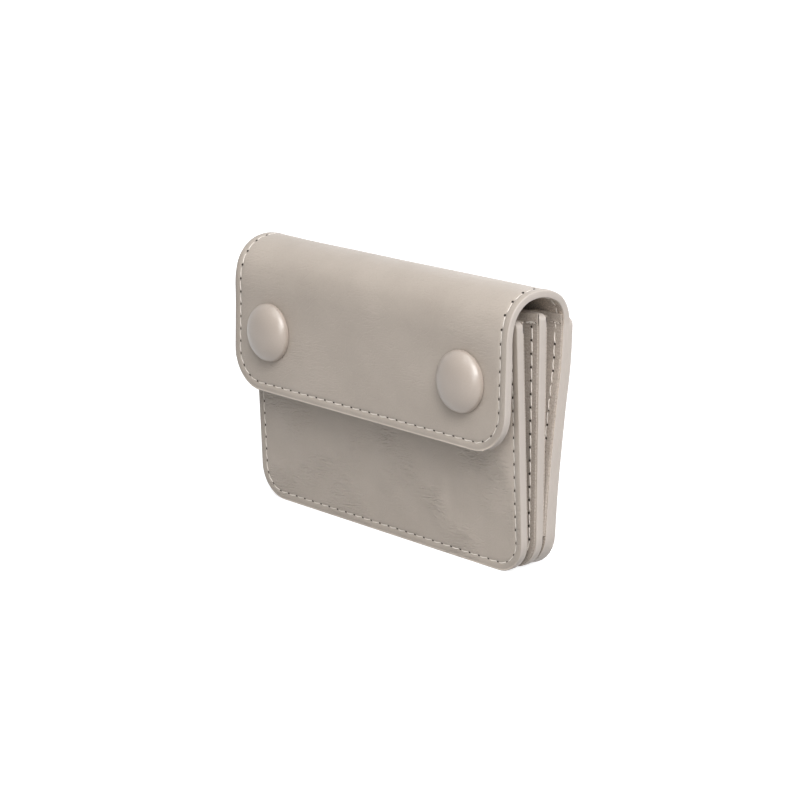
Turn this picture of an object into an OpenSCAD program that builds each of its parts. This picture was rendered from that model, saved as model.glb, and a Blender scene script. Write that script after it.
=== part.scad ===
// Small upright leather organizer wallet: a back panel whose outer leather rolls over the top
// into a front flap with two covered snap buttons, and two card compartments with folded gussets.
// X runs along the width, -Y is the front, Z is up, and the origin is the middle of the base.

/* [Leather] */
// Thickness of the outer leather
leather_t = 1.3; // [0.9:0.05:1.8]
// Thickness of the lining leather
lining_t = 1.2; // [0.9:0.05:1.8]
// Thickness of the thin gusset leather
gusset_t = 0.5; // [0.3:0.05:0.6]

/* [Panels] */
// Width of the front panel, the divider and the back panel
panel_w = 110.5; // [90:0.5:130]
// Radius of the bottom corners of all panels
panel_corner_r = 9.5; // [6:0.5:14]
// Radius of the top corners of the front panel and the divider
panel_top_r = 1.8; // [1:0.1:4]

/* [Front panel] */
// Height of the front panel
front_h = 71.1; // [66:0.1:72]
// Forward lean of the front panel, in degrees
front_lean = 2.2; // [1:0.1:3]

/* [Divider] */
// Height of the divider
divider_h = 72; // [66:0.1:73]
// Thickness of each of the divider's two leathers
divider_leather_t = 1.35; // [1:0.05:1.8]
// Free space between the front panel and the divider at the base
front_gap = 2.7; // [2:0.1:5]
// Backward lean of the divider, in degrees
divider_lean = 0.45; // [0:0.05:1]

/* [Back panel] */
// Free space between the divider and the back panel at the base
rear_gap = 0.5; // [0.3:0.1:3]
// Backward lean of the back panel, in degrees
back_lean = 5.2; // [4.5:0.1:6]
// Height at which the back panel starts to bend over
back_straight_h = 67.6; // [67.4:0.1:71]
// Thickness of the slip pocket on the back
pocket_t = 1.2; // [0.8:0.1:1.8]
// Height of the slip pocket on the back
pocket_h = 67; // [50:0.1:67.4]

/* [Roll over the top] */
// Radius of the bend at the back shoulder, to the middle of the leather
shoulder_r = 8.6; // [8:0.1:9.5]
// Radius of the flat crown, to the middle of the leather
crown_r = 15.6; // [15:0.1:17]
// Radius of the bend at the front, to the middle of the leather
brow_r = 9.1; // [8.7:0.1:10]
// Radius of the long curve that leads into the flap, to the middle of the leather
drape_r = 22; // [20:0.5:24]

/* [Flap] */
// How far the flap is wider than the panels at each side
flap_overhang = 1.55; // [0.75:0.05:3.75]
// Height of the flap's bottom edge above the base
flap_bottom_h = 35.6; // [30:0.1:42]
// Radius of the flap's bottom corners
flap_corner_r = 11.5; // [6:0.5:15]
// Lean of the flap: its bottom edge stands this much further forward, in degrees
flap_lean = 2; // [1:0.1:3]

/* [Gussets] */
// Width of the gusset's sewn margin on each panel
gusset_margin = 4; // [3:0.1:5]
// Depth of the gusset's inward fold at the sides
gusset_depth = 9.3; // [8:0.1:9.4]
// Depth of the gusset's fold along the base
gusset_base_depth = 5.5; // [5.1:0.1:7]
// Distance from the panels' edges to the gusset's edges
gusset_inset = 0.8; // [0.4:0.1:1.5]
// Height of the front gusset
front_gusset_h = 70.5; // [60:0.1:70.5]
// Height of the rear gussets
rear_gusset_h = 69.5; // [60:0.1:69.8]
// Height at which the rear gussets are folded away to nothing
rear_gusset_foot = 10; // [9.6:0.1:20]

/* [Snap buttons] */
// Distance from the panels' side edge to the middle of a snap button
button_margin = 14.95; // [14.5:0.05:25]
// Height of the snap buttons above the base
button_h = 53.6; // [48:0.1:56]
// Diameter of a covered button
button_d = 17.2; // [12:0.1:20]
// Height of a covered button above the flap
button_rise = 4.7; // [3.5:0.1:6]
// Height of the button's upright rim
button_rim_h = 1.1; // [0.6:0.1:1.6]
// Thickness of the leather that covers the button
button_cover_t = 0.6; // [0.4:0.05:0.9]
// Thickness of the metal shell inside the button
button_shell_t = 0.5; // [0.3:0.05:0.7]
// Width of the cover's turned-in hem under the button
button_hem_w = 2.4; // [1.5:0.1:3]

/* [Snap sockets and studs] */
// Diameter of the button's rivet post
post_d = 3; // [2:0.1:3.6]
// Wall of the button's rivet post
post_wall = 0.6; // [0.4:0.05:0.8]
// Diameter of a snap socket
socket_d = 11; // [10:0.1:13]
// Height of a snap socket behind the flap
socket_h = 2.1; // [1.9:0.05:2.3]
// Thickness of the socket's base and of its mouth ring
socket_plate_t = 0.45; // [0.3:0.05:0.5]
// Inside diameter of the socket's mouth
socket_mouth_d = 7.2; // [6.8:0.1:7.6]
// Wire diameter of the spring ring in the socket
spring_wire_d = 0.6; // [0.4:0.05:0.7]
// Diameter of the stud's head
stud_head_d = 5; // [4:0.1:5.2]
// Diameter of the stud's neck
stud_neck_d = 4.2; // [3.6:0.1:4.3]
// Height of the stud above the front panel
stud_h = 2.2; // [1.9:0.05:2.4]
// Diameter of the stud's flange
stud_flange_d = 9; // [7:0.1:10]
// Thickness of the stud's flange and of its eyelet's flange
stud_flange_t = 0.4; // [0.3:0.05:0.5]
// Diameter of the eyelet that holds the stud
eyelet_d = 2.6; // [2:0.1:2.8]
// Diameter of the eyelet's flange inside the front compartment
eyelet_flange_d = 8; // [6:0.1:9]

/* [Hinge lines] */
// Free space at each hinge line of the roll
hinge_clearance = 0.3; // [0.2:0.05:0.4]
// Free space around rivets and between the snap pieces
fit_clearance = 0.05; // [0.03:0.01:0.1]

/* [Hidden] */

leather_color = [0.66, 0.62, 0.57];
lining_color = [0.60, 0.56, 0.51];
gusset_color = [0.55, 0.51, 0.46];
button_color = [0.69, 0.65, 0.60];
steel_color = [0.72, 0.72, 0.70];

// Smoothness of round and bent shapes
round_steps = 72;
wire_steps = 16;
corner_steps = 10;
bend_step = 4;
dome_steps = 9;

// How far a cut reaches past the solid that it cuts
overrun = 1;

// Cosine under which a point of a hinge end falls on the path's own point
tangent_cos = 0.001;

// Opening of the socket's spring ring, and the turn of a rounded corner, in degrees
ring_opening = 40;
corner_turn = 90;

// Place of a gusset's fold between its two panels
fold_share = 0.5;
// Share of a gusset's height at which its fold has its full depth
full_fold_share = 1 / 3;
// Share of a stud head's height that its slanted edge takes
stud_edge_share = 1 / 3;

// Headings of the leather's path in degrees: 0 is up, 90 is forward over the crown, 180 is down
shoulder_end = 65;
crown_end = 101;
brow_end = 162;
flap_heading = 180 - flap_lean;
rear_hinge_heading = 30;
crown_hinge_heading = 90;
front_hinge_heading = 150;

// Width of the flap, and the snap buttons' distance from the middle
flap_w = panel_w + 2 * flap_overhang;
button_x = panel_w / 2 - button_margin;

// Two leathers glued back to back
sheet_t = leather_t + lining_t;
half_t = sheet_t / 2;
seam_n = half_t - leather_t;

// Where each panel's front face meets the base, with the front panel's outer face at zero
front_inner_y = sheet_t / cos(front_lean);
divider_y = front_inner_y + front_gap;
divider_sheet_t = 2 * divider_leather_t;
divider_rear_y = divider_y + divider_sheet_t / cos(divider_lean);
back_y = divider_rear_y + rear_gap;
back_outer_y = back_y + sheet_t / cos(back_lean);
pocket_outer_y = back_outer_y + pocket_t / cos(back_lean);

// Depth at height z of a face that meets the base at y0 and leans back by the angle lean
function face_y(y0, lean, z) = y0 + z * tan(lean);

// Path of the middle of the flap's leather: up the back, over the roll and down the front
bend_start = [face_y((back_y + back_outer_y) / 2, back_lean, back_straight_h), back_straight_h];
strap_arcs = [
    [shoulder_r, -back_lean, shoulder_end],
    [crown_r, shoulder_end, crown_end],
    [brow_r, crown_end, brow_end],
    [drape_r, brow_end, flap_heading],
];

// Part of one arc that is travelled up to heading h
function arc_travel(arc, h) =
    let (end = min(max(h, arc[1]), arc[2]))
    arc[0] * [cos(end) - cos(arc[1]), sin(end) - sin(arc[1])];

function total(list, i = 0) = i < len(list) ? list[i] + total(list, i + 1) : [0, 0];

// Point of the path at heading h, moved outwards by n
function strap_point(h, n) =
    bend_start + total([for (arc = strap_arcs) arc_travel(arc, h)]) + n * [cos(h), sin(h)];

// Radius of the path just after heading h
function radius_after(h) = [for (arc = strap_arcs) if (h >= arc[1] && h < arc[2]) arc[0]][0];

// Heading at which the leather starts again behind a hinge line
function heading_after_hinge(h) = h + (half_t + hinge_clearance) / radius_after(h) * 180 / PI;

// Points of the path between two headings
function strap_run(h0, h1, n) =
    let (count = ceil((h1 - h0) / bend_step))
    [for (i = [0 : count]) strap_point(h0 + (h1 - h0) * i / count, n)];

// Rounded end at a hinge line, from the outward distance n1 down to n0
function hinge_end(h, n1, n0) =
    let (from = asin(n1 / half_t), to = asin(n0 / half_t))
    [for (i = [0 : corner_steps])
        let (a = from + (to - from) * i / corner_steps)
        if (cos(a) > tangent_cos)
        strap_point(h, half_t * sin(a)) + half_t * cos(a) * [-sin(h), cos(h)]];

function reversed(list) = [for (i = [len(list) - 1 : -1 : 0]) list[i]];

// Flap below the roll: point at height z, moved outwards by n
flap_start = strap_point(flap_heading, 0);
function flap_y(n, z) =
    let (drop = (z - flap_start[1] - n * sin(flap_heading)) / cos(flap_heading))
    flap_start[0] + n * cos(flap_heading) - drop * sin(flap_heading);

// Outline with rounded corners in the plane of a panel
function corner(x, z, r, from) =
    [for (i = [0 : corner_steps])
        let (a = from + corner_turn * i / corner_steps)
        [x + r * cos(a), z + r * sin(a)]];
function outline(w, z0, z1, r0, r1) = concat(
    corner(w / 2 - r0, z0 + r0, r0, -90),
    corner(w / 2 - r1, z1 - r1, r1, 0),
    corner(r1 - w / 2, z1 - r1, r1, 90),
    corner(r0 - w / 2, z0 + r0, r0, 180)
);

// Places of the snaps on the flap and on the front panel
flap_outer_y = flap_y(half_t, button_h);
front_outer_y = face_y(0, -front_lean, button_h);

// Sphere that makes the button's dome
dome_h = button_rise - button_rim_h;
dome_r = (pow(button_d / 2, 2) + pow(dome_h, 2)) / (2 * dome_h);
button_front_y = flap_outer_y - (button_rise - dome_r) * cos(flap_lean) - dome_r;

// Depth of the whole wallet, centred on the origin
pocket_top_y = face_y(pocket_outer_y, back_lean, pocket_h);
depth_middle = (button_front_y + pocket_top_y) / 2;
body_reach = pocket_top_y - button_front_y;
top_z = strap_point(crown_hinge_heading, half_t)[1];

// Where the leather starts and stops growing from the panels' width to the flap's width
flare_rear_y = bend_start[0];
flare_front_y = strap_point(front_hinge_heading, 0)[0];

// Moves a piece from the front panel's foot to the middle of the base
module placed() {
    translate([0, -depth_middle, 0])
        children();
}

// Extrudes a side profile, drawn in depth and height, across the width w
module across(w) {
    rotate([90, 0, 90])
        linear_extrude(w, center = true)
            children();
}

// Extrudes an outline, drawn in width and height, through the whole depth
module through() {
    rotate([90, 0, 0])
        linear_extrude(4 * body_reach, center = true)
            children();
}

// Flat leather panel between two faces that share one lean
module panel(y0, y1, lean, h, top_r) {
    intersection() {
        across(panel_w)
            polygon([
                [y0, 0],
                [y1, 0],
                [face_y(y1, lean, h), h],
                [face_y(y0, lean, h), h],
            ]);
        through()
            polygon(outline(panel_w, 0, h, panel_corner_r, top_r));
    }
}

// Plan of the leather as it widens over the roll
module flare() {
    linear_extrude(2 * top_z)
        polygon([
            [-panel_w / 2, 2 * body_reach],
            [-panel_w / 2, flare_rear_y],
            [-flap_w / 2, flare_front_y],
            [-flap_w / 2, -body_reach],
            [flap_w / 2, -body_reach],
            [flap_w / 2, flare_front_y],
            [panel_w / 2, flare_rear_y],
            [panel_w / 2, 2 * body_reach],
        ]);
}

// Layer of the back panel up to the first hinge line, between outward distances n1 and n0
module back_layer(n1, n0) {
    middle_y = (back_y + back_outer_y) / 2;
    foot = [
        [middle_y + n0 / cos(back_lean), 0],
        [middle_y + n1 / cos(back_lean), 0],
    ];
    intersection() {
        across(panel_w)
            polygon(concat(
                foot,
                strap_run(-back_lean, rear_hinge_heading, n1),
                hinge_end(rear_hinge_heading, n1, n0),
                reversed(strap_run(-back_lean, rear_hinge_heading, n0))
            ));
        through()
            polygon(outline(panel_w, 0, 2 * top_z, panel_corner_r, panel_top_r));
    }
}

// Layer of the roll between two hinge lines
module roll_layer(from, to, n1, n0) {
    start = heading_after_hinge(from);
    intersection() {
        across(flap_w)
            polygon(concat(
                strap_run(start, to, n1),
                hinge_end(to, n1, n0),
                reversed(strap_run(start, to, n0))
            ));
        flare();
    }
}

// Layer of the flap from the last hinge line down, with the rivet holes
module flap_layer(n1, n0) {
    start = heading_after_hinge(front_hinge_heading);
    difference() {
        intersection() {
            across(flap_w)
                polygon(concat(
                    strap_run(start, flap_heading, n1),
                    [[flap_y(n1, flap_bottom_h), flap_bottom_h], [flap_y(n0, flap_bottom_h), flap_bottom_h]],
                    reversed(strap_run(start, flap_heading, n0))
                ));
            through()
                polygon(outline(flap_w, flap_bottom_h, 2 * top_z, flap_corner_r, panel_top_r));
            flare();
        }
        for (side = [-1, 1])
            on_flap(side)
                translate([0, 0, -sheet_t - overrun])
                    cylinder(h = sheet_t + 2 * overrun, r = post_d / 2 + fit_clearance, $fn = round_steps);
    }
}

// Puts children on the flap's outer face at a button, with +Z pointing out of the flap
module on_flap(side) {
    translate([side * button_x, flap_outer_y, button_h])
        rotate([90 - flap_lean, 0, 0])
            children();
}

// Puts children on the flap's inner face behind a button, with +Z pointing into the wallet
module behind_flap(side) {
    on_flap(side)
        translate([0, 0, -sheet_t])
            rotate([180, 0, 0])
                children();
}

// Puts children on the front panel's outer face at a button, with +Z pointing at the flap
module on_front(side) {
    translate([side * button_x, front_outer_y, button_h])
        rotate([90 + front_lean, 0, 0])
            children();
}

module back_leather() {
    color(leather_color)
        placed()
            back_layer(half_t, seam_n);
}

module back_lining() {
    color(lining_color)
        placed()
            back_layer(seam_n, -half_t);
}

module back_slip_pocket() {
    color(leather_color)
        placed()
            panel(back_outer_y, pocket_outer_y, back_lean, pocket_h, panel_top_r);
}

module roll_rear_leather() {
    color(leather_color)
        placed()
            roll_layer(rear_hinge_heading, crown_hinge_heading, half_t, seam_n);
}

module roll_rear_lining() {
    color(lining_color)
        placed()
            roll_layer(rear_hinge_heading, crown_hinge_heading, seam_n, -half_t);
}

module roll_front_leather() {
    color(leather_color)
        placed()
            roll_layer(crown_hinge_heading, front_hinge_heading, half_t, seam_n);
}

module roll_front_lining() {
    color(lining_color)
        placed()
            roll_layer(crown_hinge_heading, front_hinge_heading, seam_n, -half_t);
}

module flap_leather() {
    color(leather_color)
        placed()
            flap_layer(half_t, seam_n);
}

module flap_lining() {
    color(lining_color)
        placed()
            flap_layer(seam_n, -half_t);
}

// Side of a dome in radius and height, from its top to the edge of radius r
function dome_side(r, top, sphere_r) =
    let (edge = asin(r / sphere_r))
    [for (i = [0 : dome_steps])
        let (a = edge * i / dome_steps)
        [sphere_r * sin(a), top - sphere_r * (1 - cos(a))]];

// Leather cover: dome, upright rim and the hem turned in under the button
module button_cover(side) {
    outer_r = button_d / 2;
    inner_r = outer_r - button_cover_t;
    inner_top = button_rise - button_cover_t;
    color(button_color)
        placed()
            on_flap(side)
                rotate_extrude($fn = round_steps)
                    polygon(concat(
                        dome_side(outer_r, button_rise, dome_r),
                        [
                            [outer_r, fit_clearance + button_cover_t / 2],
                            [outer_r - button_cover_t / 2, fit_clearance],
                            [outer_r - button_hem_w, fit_clearance],
                            [outer_r - button_hem_w, button_cover_t],
                            [inner_r, button_cover_t],
                        ],
                        reversed(dome_side(inner_r, inner_top, dome_r - button_cover_t))
                    ));
}

// Metal shell under the cover, with the rivet post that passes through the flap
module button_shell(side) {
    outer_r = button_d / 2 - button_cover_t - fit_clearance;
    inner_r = outer_r - button_shell_t;
    outer_top = button_rise - button_cover_t - fit_clearance;
    inner_top = outer_top - button_shell_t;
    sphere_r = dome_r - button_cover_t - fit_clearance;
    post_foot = -sheet_t - socket_plate_t - fit_clearance;
    color(steel_color)
        placed()
            on_flap(side)
                difference() {
                    union() {
                        rotate_extrude($fn = round_steps)
                            polygon(concat(
                                dome_side(outer_r, outer_top, sphere_r),
                                [
                                    [outer_r, button_cover_t + fit_clearance],
                                    [inner_r, button_cover_t + fit_clearance],
                                ],
                                reversed(dome_side(inner_r, inner_top, sphere_r - button_shell_t))
                            ));
                        translate([0, 0, post_foot])
                            cylinder(h = outer_top - button_shell_t / 2 - post_foot, r = post_d / 2, $fn = round_steps);
                    }
                    translate([0, 0, post_foot - overrun])
                        cylinder(
                            h = outer_top - button_shell_t - post_foot + overrun,
                            r = post_d / 2 - post_wall,
                            $fn = round_steps
                        );
                }
}

// Snap socket: base plate with the rivet's hole, wall and mouth ring
module socket(side) {
    color(steel_color)
        placed()
            behind_flap(side)
                difference() {
                    cylinder(h = socket_h, r = socket_d / 2, $fn = round_steps);
                    translate([0, 0, socket_plate_t])
                        cylinder(
                            h = socket_h - 2 * socket_plate_t,
                            r = socket_mouth_d / 2 + spring_wire_d + fit_clearance,
                            $fn = round_steps
                        );
                    translate([0, 0, socket_plate_t])
                        cylinder(h = socket_h, r = socket_mouth_d / 2, $fn = round_steps);
                    translate([0, 0, -overrun])
                        cylinder(h = socket_h, r = post_d / 2 + fit_clearance, $fn = round_steps);
                }
}

// Open spring ring that lies in the socket's groove
module spring_ring(side) {
    ring_r = (socket_mouth_d + spring_wire_d) / 2;
    color(steel_color)
        placed()
            behind_flap(side)
                translate([0, 0, socket_h - socket_plate_t - spring_wire_d / 2 - fit_clearance])
                    rotate([0, 0, ring_opening / 2])
                        rotate_extrude(angle = 360 - ring_opening, $fn = round_steps)
                            translate([ring_r, 0])
                                circle(r = spring_wire_d / 2, $fn = wire_steps);
}

// Hole for an eyelet through the front panel
module eyelet_holes() {
    for (side = [-1, 1])
        on_front(side)
            translate([0, 0, -sheet_t - overrun])
                cylinder(h = sheet_t + 2 * overrun, r = eyelet_d / 2 + fit_clearance, $fn = round_steps);
}

module front_leather() {
    color(leather_color)
        placed()
            difference() {
                panel(0, leather_t / cos(front_lean), -front_lean, front_h, panel_top_r);
                eyelet_holes();
            }
}

module front_lining() {
    color(lining_color)
        placed()
            difference() {
                panel(leather_t / cos(front_lean), front_inner_y, -front_lean, front_h, panel_top_r);
                eyelet_holes();
            }
}

// Stud on the front panel: flange, neck and rounded head round a blind hole
module stud(side) {
    head_h = stud_h - 2 * stud_flange_t;
    head_edge = stud_edge_share * head_h;
    color(steel_color)
        placed()
            on_front(side)
                difference() {
                    rotate_extrude($fn = round_steps)
                        polygon([
                            [0, 0],
                            [stud_flange_d / 2, 0],
                            [stud_flange_d / 2, stud_flange_t / 2],
                            [stud_neck_d / 2, stud_flange_t],
                            [stud_neck_d / 2, 2 * stud_flange_t],
                            [stud_head_d / 2, 2 * stud_flange_t + head_edge],
                            [stud_head_d / 2, stud_h - head_edge],
                            [stud_head_d / 2 - head_edge, stud_h],
                            [0, stud_h],
                        ]);
                    translate([0, 0, -overrun])
                        cylinder(
                            h = stud_h - stud_flange_t + overrun,
                            r = eyelet_d / 2 + fit_clearance,
                            $fn = round_steps
                        );
                }
}

// Eyelet inside the front compartment whose tube passes into the stud
module eyelet(side) {
    tube_h = stud_h - stud_flange_t - fit_clearance;
    color(steel_color)
        placed()
            on_front(side)
                difference() {
                    union() {
                        translate([0, 0, -sheet_t - stud_flange_t])
                            cylinder(h = stud_flange_t, r = eyelet_flange_d / 2, $fn = round_steps);
                        translate([0, 0, -sheet_t - stud_flange_t])
                            cylinder(h = sheet_t + stud_flange_t + tube_h, r = eyelet_d / 2, $fn = round_steps);
                    }
                    translate([0, 0, -sheet_t - stud_flange_t - overrun])
                        cylinder(h = sheet_t + overrun, r = eyelet_d / 2 - stud_flange_t, $fn = round_steps);
                }
}

module divider_front_leather() {
    color(leather_color)
        placed()
            panel(divider_y, (divider_y + divider_rear_y) / 2, divider_lean, divider_h, panel_top_r);
}

module divider_rear_leather() {
    color(leather_color)
        placed()
            panel((divider_y + divider_rear_y) / 2, divider_rear_y, divider_lean, divider_h, panel_top_r);
}

// Stations of a gusset along the panel's edge: place, inward direction and depth of the fold
gusset_corner_r = panel_corner_r - gusset_inset;
gusset_half_w = panel_w / 2 - gusset_inset;
function side_station(side, z, depth) = [side * gusset_half_w, z, -side, 0, depth];
function corner_stations(side, from) =
    [for (i = [1 : corner_steps - 1])
        let (a = from + corner_turn * i / corner_steps)
        [
            side * (gusset_half_w - gusset_corner_r) + gusset_corner_r * cos(a),
            panel_corner_r + gusset_corner_r * sin(a),
            -cos(a),
            -sin(a),
            gusset_base_depth,
        ]];
function base_station(side) = [side * (gusset_half_w - gusset_corner_r), gusset_inset, 0, 1, gusset_base_depth];

// Profile of a folded gusset at one station, between the faces of two panels
function gusset_ring(s, faces) = [
    for (p = [
        [0, 0, fit_clearance],
        [gusset_margin, 0, fit_clearance],
        [s[4], fold_share, -gusset_t / 2],
        [s[4], fold_share, gusset_t / 2],
        [gusset_margin, 1, -fit_clearance],
        [0, 1, -fit_clearance],
        [0, 1, -fit_clearance - gusset_t],
        [gusset_margin, 1, -fit_clearance - gusset_t],
        [s[4] - 2 * gusset_t, fold_share, 0],
        [gusset_margin, 0, fit_clearance + gusset_t],
        [0, 0, fit_clearance + gusset_t],
    ])
    let (
        z = s[1] + p[0] * s[3],
        front_y = face_y(faces[0][0], faces[0][1], z),
        rear_y = face_y(faces[1][0], faces[1][1], z)
    )
    [s[0] + p[0] * s[2], front_y + (rear_y - front_y) * p[1] + p[2], z]
];

// Faces that close one end of a gusset, by the order of the profile's points
gusset_end = [[0, 1, 9, 10], [1, 2, 8, 9], [2, 3, 8], [3, 4, 7, 8], [4, 5, 6, 7]];

// Folded gusset swept along its stations
module folded(stations, faces) {
    rings = [for (s = stations) gusset_ring(s, faces)];
    sides = len(rings[0]);
    last = (len(rings) - 1) * sides;
    polyhedron(
        points = [for (ring = rings) for (p = ring) p],
        faces = concat(
            gusset_end,
            [for (r = [0 : len(rings) - 2]) for (i = [0 : sides - 1])
                let (a = r * sides + i, b = r * sides + (i + 1) % sides)
                each [[a, a + sides, b], [b, a + sides, b + sides]]],
            [for (face = gusset_end) [for (i = reversed(face)) last + i]]
        )
    );
}

// Gusset between the front panel and the divider, down one side, along the base and up the other
module front_gusset() {
    faces = [[front_inner_y, -front_lean], [divider_y, divider_lean]];
    stations = concat(
        [
            side_station(1, front_gusset_h, gusset_depth),
            side_station(1, full_fold_share * front_gusset_h, gusset_depth),
            side_station(1, panel_corner_r, gusset_base_depth),
        ],
        reversed(corner_stations(1, -90)),
        [base_station(1), base_station(-1)],
        reversed(corner_stations(-1, 180)),
        [
            side_station(-1, panel_corner_r, gusset_base_depth),
            side_station(-1, full_fold_share * front_gusset_h, gusset_depth),
            side_station(-1, front_gusset_h, gusset_depth),
        ]
    );
    color(gusset_color)
        placed()
            folded(stations, faces);
}

// Gusset between the divider and the back panel at one side
module rear_gusset(side) {
    faces = [[divider_rear_y, divider_lean], [back_y, back_lean]];
    tall = [
        side_station(1, rear_gusset_h, gusset_depth),
        side_station(1, full_fold_share * rear_gusset_h, gusset_depth),
        side_station(1, rear_gusset_foot, gusset_base_depth),
    ];
    color(gusset_color)
        placed()
            mirror([side < 0 ? 1 : 0, 0, 0])
                folded(tall, faces);
}

back_leather();
back_lining();
back_slip_pocket();
roll_rear_leather();
roll_rear_lining();
roll_front_leather();
roll_front_lining();
flap_leather();
flap_lining();
button_cover(-1);  // button_cover_left
button_cover(1);  // button_cover_right
button_shell(-1);  // button_shell_left
button_shell(1);  // button_shell_right
socket(-1);  // socket_left
socket(1);  // socket_right
spring_ring(-1);  // spring_ring_left
spring_ring(1);  // spring_ring_right
front_leather();
front_lining();
stud(-1);  // stud_left
stud(1);  // stud_right
eyelet(-1);  // eyelet_left
eyelet(1);  // eyelet_right
divider_front_leather();
divider_rear_leather();
front_gusset();
rear_gusset(-1);  // rear_gusset_left
rear_gusset(1);  // rear_gusset_right
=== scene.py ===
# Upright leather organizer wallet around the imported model: supple leather with painted edges and lockstitched
# seams, folded gussets between the panels, covered snap buttons and nickel snap parts.
import math

import bmesh
import bpy
from mathutils import Matrix, Vector, noise


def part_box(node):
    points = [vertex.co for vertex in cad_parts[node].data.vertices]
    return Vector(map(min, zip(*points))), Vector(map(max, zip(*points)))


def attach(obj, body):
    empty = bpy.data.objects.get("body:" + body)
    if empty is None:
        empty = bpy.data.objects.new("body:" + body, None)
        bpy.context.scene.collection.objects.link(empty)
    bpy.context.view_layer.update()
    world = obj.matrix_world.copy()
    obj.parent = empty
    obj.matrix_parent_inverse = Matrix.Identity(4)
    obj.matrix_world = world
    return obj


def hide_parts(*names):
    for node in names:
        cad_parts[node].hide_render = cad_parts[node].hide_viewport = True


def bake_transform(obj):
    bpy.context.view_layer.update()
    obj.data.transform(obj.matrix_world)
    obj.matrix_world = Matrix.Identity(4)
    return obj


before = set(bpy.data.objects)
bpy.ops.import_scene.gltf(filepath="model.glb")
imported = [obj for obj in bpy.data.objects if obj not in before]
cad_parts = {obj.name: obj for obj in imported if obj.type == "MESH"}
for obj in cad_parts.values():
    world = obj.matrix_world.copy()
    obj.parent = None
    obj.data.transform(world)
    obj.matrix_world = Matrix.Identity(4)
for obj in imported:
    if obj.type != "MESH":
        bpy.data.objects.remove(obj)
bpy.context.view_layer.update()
mm = 0.001
print("frame loaded with", len(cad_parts), "CAD nodes")

# Camera at the photograph's viewing angle
photoView = {
    "azimuth": 47.76,  # degrees
    "elevation": 14.51,
    "roll": -0.285,
    "distance": 703 * mm,
    "target": (-2.45 * mm, 5.4 * mm, 37.54 * mm),
    "focalPixels": 2461,
    "imagePixels": 800,
    "sensor": 36,
}


def placeCamera(view):
    azimuth = math.radians(view["azimuth"])
    elevation = math.radians(view["elevation"])
    roll = math.radians(view["roll"])
    level = Vector((math.cos(azimuth), math.sin(azimuth), 0))
    back = Vector((math.sin(azimuth) * math.cos(elevation), -math.cos(azimuth) * math.cos(elevation),
                   math.sin(elevation)))
    upright = back.cross(level)
    right = math.cos(roll) * level + math.sin(roll) * upright
    up = back.cross(right)
    bpy.ops.object.camera_add(location=Vector(view["target"]) + view["distance"] * back)
    camera = bpy.context.object
    camera.name = "photo_camera"
    camera.rotation_euler = Matrix((right, up, back)).transposed().to_euler()
    camera.data.sensor_width = view["sensor"]
    camera.data.lens = view["focalPixels"] / view["imagePixels"] * view["sensor"]
    camera.data.clip_start = 10 * mm
    bpy.context.scene.camera = camera


placeCamera(photoView)

# Soft lamps: where each stands, its size in metres, its power in watts and its tint
lamps = {
    "right_softbox": {"place": (0.75, -0.4, 0.85), "size": 0.7, "power": 13.3, "tint": (1, 1, 1)},
    "overhead_softbox": {"place": (0.1, 0.15, 1.1), "size": 0.7, "power": 3.2, "tint": (0.97, 1, 1.04)},
    "front_softbox": {"place": (0.1, -0.45, 1.05), "size": 0.8, "power": 3.6, "tint": (1, 1, 1)},
    "corner_softbox": {"place": (0.75, -0.85, 0.45), "size": 0.6, "power": 4.1, "tint": (1, 1, 1)},
    "rear_softbox": {"place": (-0.6, 1.1, 0.7), "size": 0.9, "power": 3.0, "tint": (0.97, 1, 1.06)},
    "back_softbox": {"place": (0.55, 0.85, 0.3), "size": 0.6, "power": 3.2, "tint": (1, 1, 1)},
}
lampAim = Vector((0, 0, 40 * mm))


def placeLamp(name, lamp):
    place = Vector(lamp["place"])
    bpy.ops.object.light_add(type="AREA", location=place)
    light = bpy.context.object
    light.name = name
    light.rotation_euler = (place - lampAim).to_track_quat("Z", "Y").to_euler()
    light.data.shape = "SQUARE"
    light.data.size = lamp["size"]
    light.data.energy = lamp["power"]
    light.data.color = lamp["tint"]


for lampName, lamp in lamps.items():
    placeLamp(lampName, lamp)


# Nodes: an input is set, or linked where a socket is given
def feed(tree, node, inputs):
    for socket, value in inputs.items():
        if isinstance(value, bpy.types.NodeSocket):
            tree.links.new(value, node.inputs[socket])
        else:
            node.inputs[socket].default_value = value


def addNode(tree, kind, inputs=None, **settings):
    node = tree.nodes.new(kind)
    for setting, value in settings.items():
        setattr(node, setting, value)
    feed(tree, node, inputs or {})
    return node


def calculate(tree, operation, *values):
    return addNode(tree, "ShaderNodeMath", dict(enumerate(values)), operation=operation).outputs[0]


def remap(tree, value, fromLow, fromHigh, toLow=0.0, toHigh=1.0):
    return addNode(tree, "ShaderNodeMapRange", {
        "Value": value, "From Min": fromLow, "From Max": fromHigh, "To Min": toLow, "To Max": toHigh,
    }).outputs[0]


def mixTones(tree, share, dark, pale):
    tones = {0: share, 6: dark + (1,), 7: pale + (1,)}
    return addNode(tree, "ShaderNodeMix", tones, data_type="RGBA").outputs[2]


def multiply(tree, tint, factor):
    # makes a colour darker or lighter by a factor
    return addNode(tree, "ShaderNodeMix", {0: 1.0, 6: tint, 7: factor}, data_type="RGBA",
                   blend_type="MULTIPLY").outputs[2]


def makeNoise(tree, place, scale, detail, roughness=0.5, distortion=0.0):
    return addNode(tree, "ShaderNodeTexNoise", {
        "Vector": place, "Scale": scale, "Detail": detail, "Roughness": roughness, "Distortion": distortion,
    }).outputs[0]


def bump(tree, height, distance, strength=1.0, under=None):
    inputs = {"Height": height, "Distance": distance, "Strength": strength}
    if under is not None:
        inputs["Normal"] = under
    return addNode(tree, "ShaderNodeBump", inputs).outputs[0]


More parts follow.
